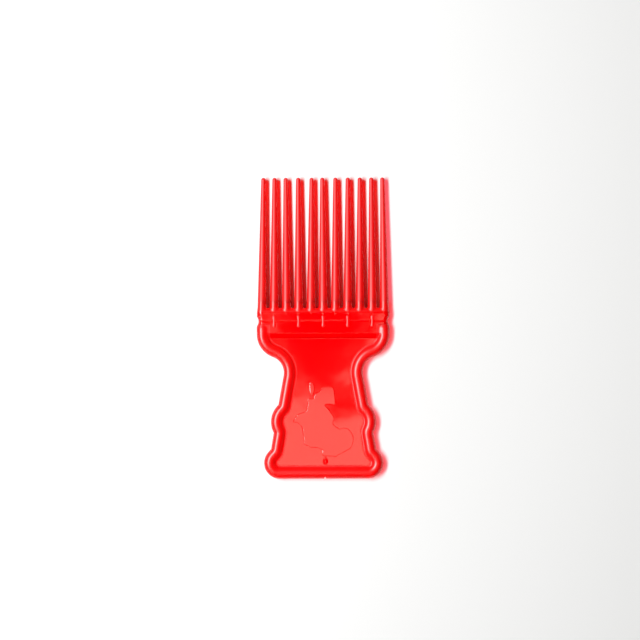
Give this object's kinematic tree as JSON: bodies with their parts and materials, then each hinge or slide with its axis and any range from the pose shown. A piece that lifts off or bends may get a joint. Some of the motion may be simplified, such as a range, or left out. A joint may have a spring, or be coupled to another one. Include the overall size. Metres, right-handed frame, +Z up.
{
  "type": "hair pick",
  "caption": "Flat hair pick with a row of long round tapered tines, a plain head band, and a waisted handle of thin panel inside a round rim, with a raised map.",
  "frame": {"origin": "under the middle of the whole length and width, at the level of the lowest line of the rim, which the pick rests on", "axes": "+Y along the length from the base to the tips, +X to the right with the map side up, +Z up out of the map side"},
  "size_m": [0.073, 0.1652, 0.0065],
  "materials": {
    "red_plastic": "glossy injection-moulded plastic, bright red, coloured through and slightly translucent"
  },
  "bodies": {
    "root": {"tine_01": "red_plastic", "tine_02": "red_plastic", "tine_03": "red_plastic", "tine_04": "red_plastic", "tine_05": "red_plastic", "tine_06": "red_plastic", "tine_07": "red_plastic", "tine_08": "red_plastic", "tine_09": "red_plastic", "tine_10": "red_plastic", "tine_11": "red_plastic", "head_band": "red_plastic", "band_rib_1": "red_plastic", "band_rib_2": "red_plastic", "band_rib_3": "red_plastic", "band_rib_4": "red_plastic", "band_rib_5": "red_plastic", "left_rim": "red_plastic", "right_rim": "red_plastic", "base_rim": "red_plastic", "handle_panel": "red_plastic", "map_relief": "red_plastic"}
  },
  "joints": []
}
